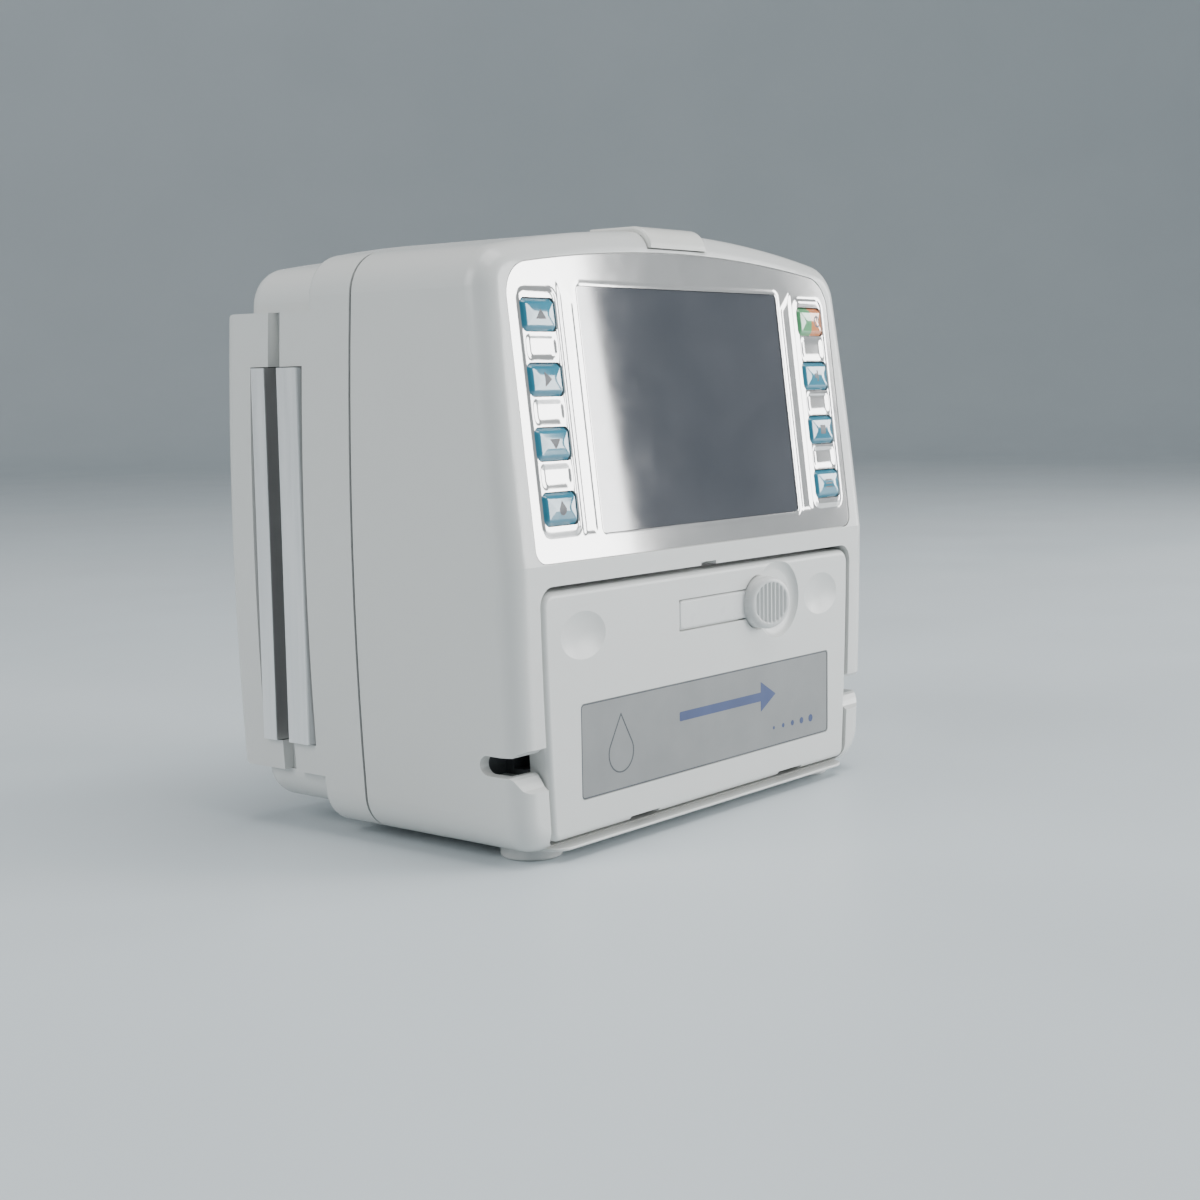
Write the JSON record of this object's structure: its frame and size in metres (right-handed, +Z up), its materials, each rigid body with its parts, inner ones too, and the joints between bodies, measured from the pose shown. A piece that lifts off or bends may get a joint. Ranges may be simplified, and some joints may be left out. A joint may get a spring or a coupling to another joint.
{
  "type": "infusion pump",
  "caption": "Compact bench-top infusion pump with a leaning display panel, keys beside it, a drop-down door with a sliding latch over the tube path, and side mounting rails.",
  "frame": {"origin": "Centre of the footprint, on the plane that the feet stand on.", "axes": "+Z up, -Y towards the door and display (the front), +X to the right seen from the front."},
  "size_m": [0.142, 0.095, 0.1392],
  "materials": {
    "case_plastic": "satin",
    "seal_rubber": "matt",
    "rail_metal": "satin",
    "foot_rubber": "matt",
    "overlay_film": "glossy",
    "window": "glossy",
    "display": "satin",
    "key_film": "glossy",
    "lens": "glossy",
    "board": "satin",
    "label": "satin",
    "latch_plastic": "satin",
    "steel": "brushed",
    "head_plastic": "satin",
    "finger_plastic": "satin",
    "belt_rubber": "matt",
    "motor_metal": "satin",
    "plate_metal": "satin",
    "battery_wrap": "glossy",
    "inlet_plastic": "satin"
  },
  "bodies": {
    "casing": {"front_casing": "case_plastic", "rear_casing": "case_plastic", "casing_seal": "seal_rubber", "casing_screws": "steel", "rail_left": "rail_metal", "rail_right": "rail_metal", "foot_front_left": "foot_rubber", "foot_front_right": "foot_rubber", "foot_rear_left": "foot_rubber", "foot_rear_right": "foot_rubber", "membrane_overlay": "overlay_film", "display_window": "window", "display_module": "display", "keypad_boards": "board", "key_switches": "steel", "main_board": "board", "alarm_light": "lens", "alarm_board": "board", "pump_head": "head_plastic", "pump_head_screws": "steel", "air_bubble_sensor": "head_plastic", "occlusion_sensor": "steel", "pump_frame": "plate_metal", "bearing_left": "steel", "bearing_right": "steel", "stepper_motor": "motor_metal", "motor_bracket": "plate_metal", "drive_belt": "belt_rubber", "battery_pack": "battery_wrap", "power_supply": "board", "power_inlet": "inlet_plastic", "speaker": "motor_metal"},
    "door": {"door_panel": "case_plastic", "door_liner": "head_plastic", "hinge_pins": "steel", "label_plate": "label"},
    "latch": {"latch_slider": "latch_plastic", "latch_bar": "steel"},
    "pressure_plate": {"pressure_plate": "steel"},
    "camshaft": {"camshaft": "steel", "cam_pulley": "plate_metal"},
    "motor_rotor": {"motor_shaft": "steel", "motor_pulley": "plate_metal"},
    "key_left_1": {"key_left_1": "key_film"},
    "key_left_2": {"key_left_2": "key_film"},
    "key_left_3": {"key_left_3": "key_film"},
    "key_left_4": {"key_left_4": "key_film"},
    "key_right_1": {"key_right_1": "key_film"},
    "key_right_2": {"key_right_2": "key_film"},
    "key_right_3": {"key_right_3": "key_film"},
    "key_right_4": {"key_right_4": "key_film"},
    "pump_finger_1": {"pump_finger_1": "finger_plastic"},
    "pump_finger_2": {"pump_finger_2": "finger_plastic"},
    "pump_finger_3": {"pump_finger_3": "finger_plastic"},
    "pump_finger_4": {"pump_finger_4": "finger_plastic"},
    "pump_finger_5": {"pump_finger_5": "finger_plastic"},
    "pump_finger_6": {"pump_finger_6": "finger_plastic"},
    "pump_finger_7": {"pump_finger_7": "finger_plastic"},
    "pump_finger_8": {"pump_finger_8": "finger_plastic"}
  },
  "joints": [
    {"name": "door_hinge", "type": "hinge", "parent": "casing", "child": "door", "pos_m": [0, -0.0393, 0.008], "axis": [1, 0, 0], "range_deg": [0, 85]},
    {"name": "latch_slide", "type": "slide", "parent": "door", "child": "latch", "axis": [1, 0, 0], "range_m": [0, 0.008]},
    {"name": "pressure_plate_slide", "type": "slide", "parent": "door", "child": "pressure_plate", "axis": [0, -1, 0], "range_m": [0, 0.0006], "stiffness_N_per_m": 1500, "springref_m": -0.0005},
    {"name": "camshaft_spin", "type": "hinge", "parent": "casing", "child": "camshaft", "pos_m": [0, -0.0119, 0.0226], "axis": [1, 0, 0], "continuous": true},
    {"name": "motor_spin", "type": "hinge", "parent": "casing", "child": "motor_rotor", "pos_m": [0, 0.0095, 0.034], "axis": [1, 0, 0], "continuous": true},
    {"name": "key_left_1_press", "type": "slide", "parent": "casing", "child": "key_left_1", "axis": [0, 0.9921, -0.1253], "range_m": [0, 0.0005], "stiffness_N_per_m": 3000, "springref_m": -0.0001},
    {"name": "key_left_2_press", "type": "slide", "parent": "casing", "child": "key_left_2", "axis": [0, 0.9921, -0.1253], "range_m": [0, 0.0005], "stiffness_N_per_m": 3000, "springref_m": -0.0001},
    {"name": "key_left_3_press", "type": "slide", "parent": "casing", "child": "key_left_3", "axis": [0, 0.9921, -0.1253], "range_m": [0, 0.0005], "stiffness_N_per_m": 3000, "springref_m": -0.0001},
    {"name": "key_left_4_press", "type": "slide", "parent": "casing", "child": "key_left_4", "axis": [0, 0.9921, -0.1253], "range_m": [0, 0.0005], "stiffness_N_per_m": 3000, "springref_m": -0.0001},
    {"name": "key_right_1_press", "type": "slide", "parent": "casing", "child": "key_right_1", "axis": [0, 0.9921, -0.1253], "range_m": [0, 0.0005], "stiffness_N_per_m": 3000, "springref_m": -0.0001},
    {"name": "key_right_2_press", "type": "slide", "parent": "casing", "child": "key_right_2", "axis": [0, 0.9921, -0.1253], "range_m": [0, 0.0005], "stiffness_N_per_m": 3000, "springref_m": -0.0001},
    {"name": "key_right_3_press", "type": "slide", "parent": "casing", "child": "key_right_3", "axis": [0, 0.9921, -0.1253], "range_m": [0, 0.0005], "stiffness_N_per_m": 3000, "springref_m": -0.0001},
    {"name": "key_right_4_press", "type": "slide", "parent": "casing", "child": "key_right_4", "axis": [0, 0.9921, -0.1253], "range_m": [0, 0.0005], "stiffness_N_per_m": 3000, "springref_m": -0.0001},
    {"name": "pump_finger_1_slide", "type": "slide", "parent": "casing", "child": "pump_finger_1", "axis": [0, -1, 0], "range_m": [-0.0018, 0]},
    {"name": "pump_finger_2_slide", "type": "slide", "parent": "casing", "child": "pump_finger_2", "axis": [0, -1, 0], "range_m": [-0.00154, 0.00026]},
    {"name": "pump_finger_3_slide", "type": "slide", "parent": "casing", "child": "pump_finger_3", "axis": [0, -1, 0], "range_m": [-0.0009, 0.0009]},
    {"name": "pump_finger_4_slide", "type": "slide", "parent": "casing", "child": "pump_finger_4", "axis": [0, -1, 0], "range_m": [-0.00026, 0.00154]},
    {"name": "pump_finger_5_slide", "type": "slide", "parent": "casing", "child": "pump_finger_5", "axis": [0, -1, 0], "range_m": [0, 0.0018]},
    {"name": "pump_finger_6_slide", "type": "slide", "parent": "casing", "child": "pump_finger_6", "axis": [0, -1, 0], "range_m": [-0.00026, 0.00154]},
    {"name": "pump_finger_7_slide", "type": "slide", "parent": "casing", "child": "pump_finger_7", "axis": [0, -1, 0], "range_m": [-0.0009, 0.0009]},
    {"name": "pump_finger_8_slide", "type": "slide", "parent": "casing", "child": "pump_finger_8", "axis": [0, -1, 0], "range_m": [-0.00154, 0.00026]}
  ],
  "couplings": [
    {"joint": "motor_spin", "follows": "camshaft_spin", "ratio": 2.3333}
  ]
}
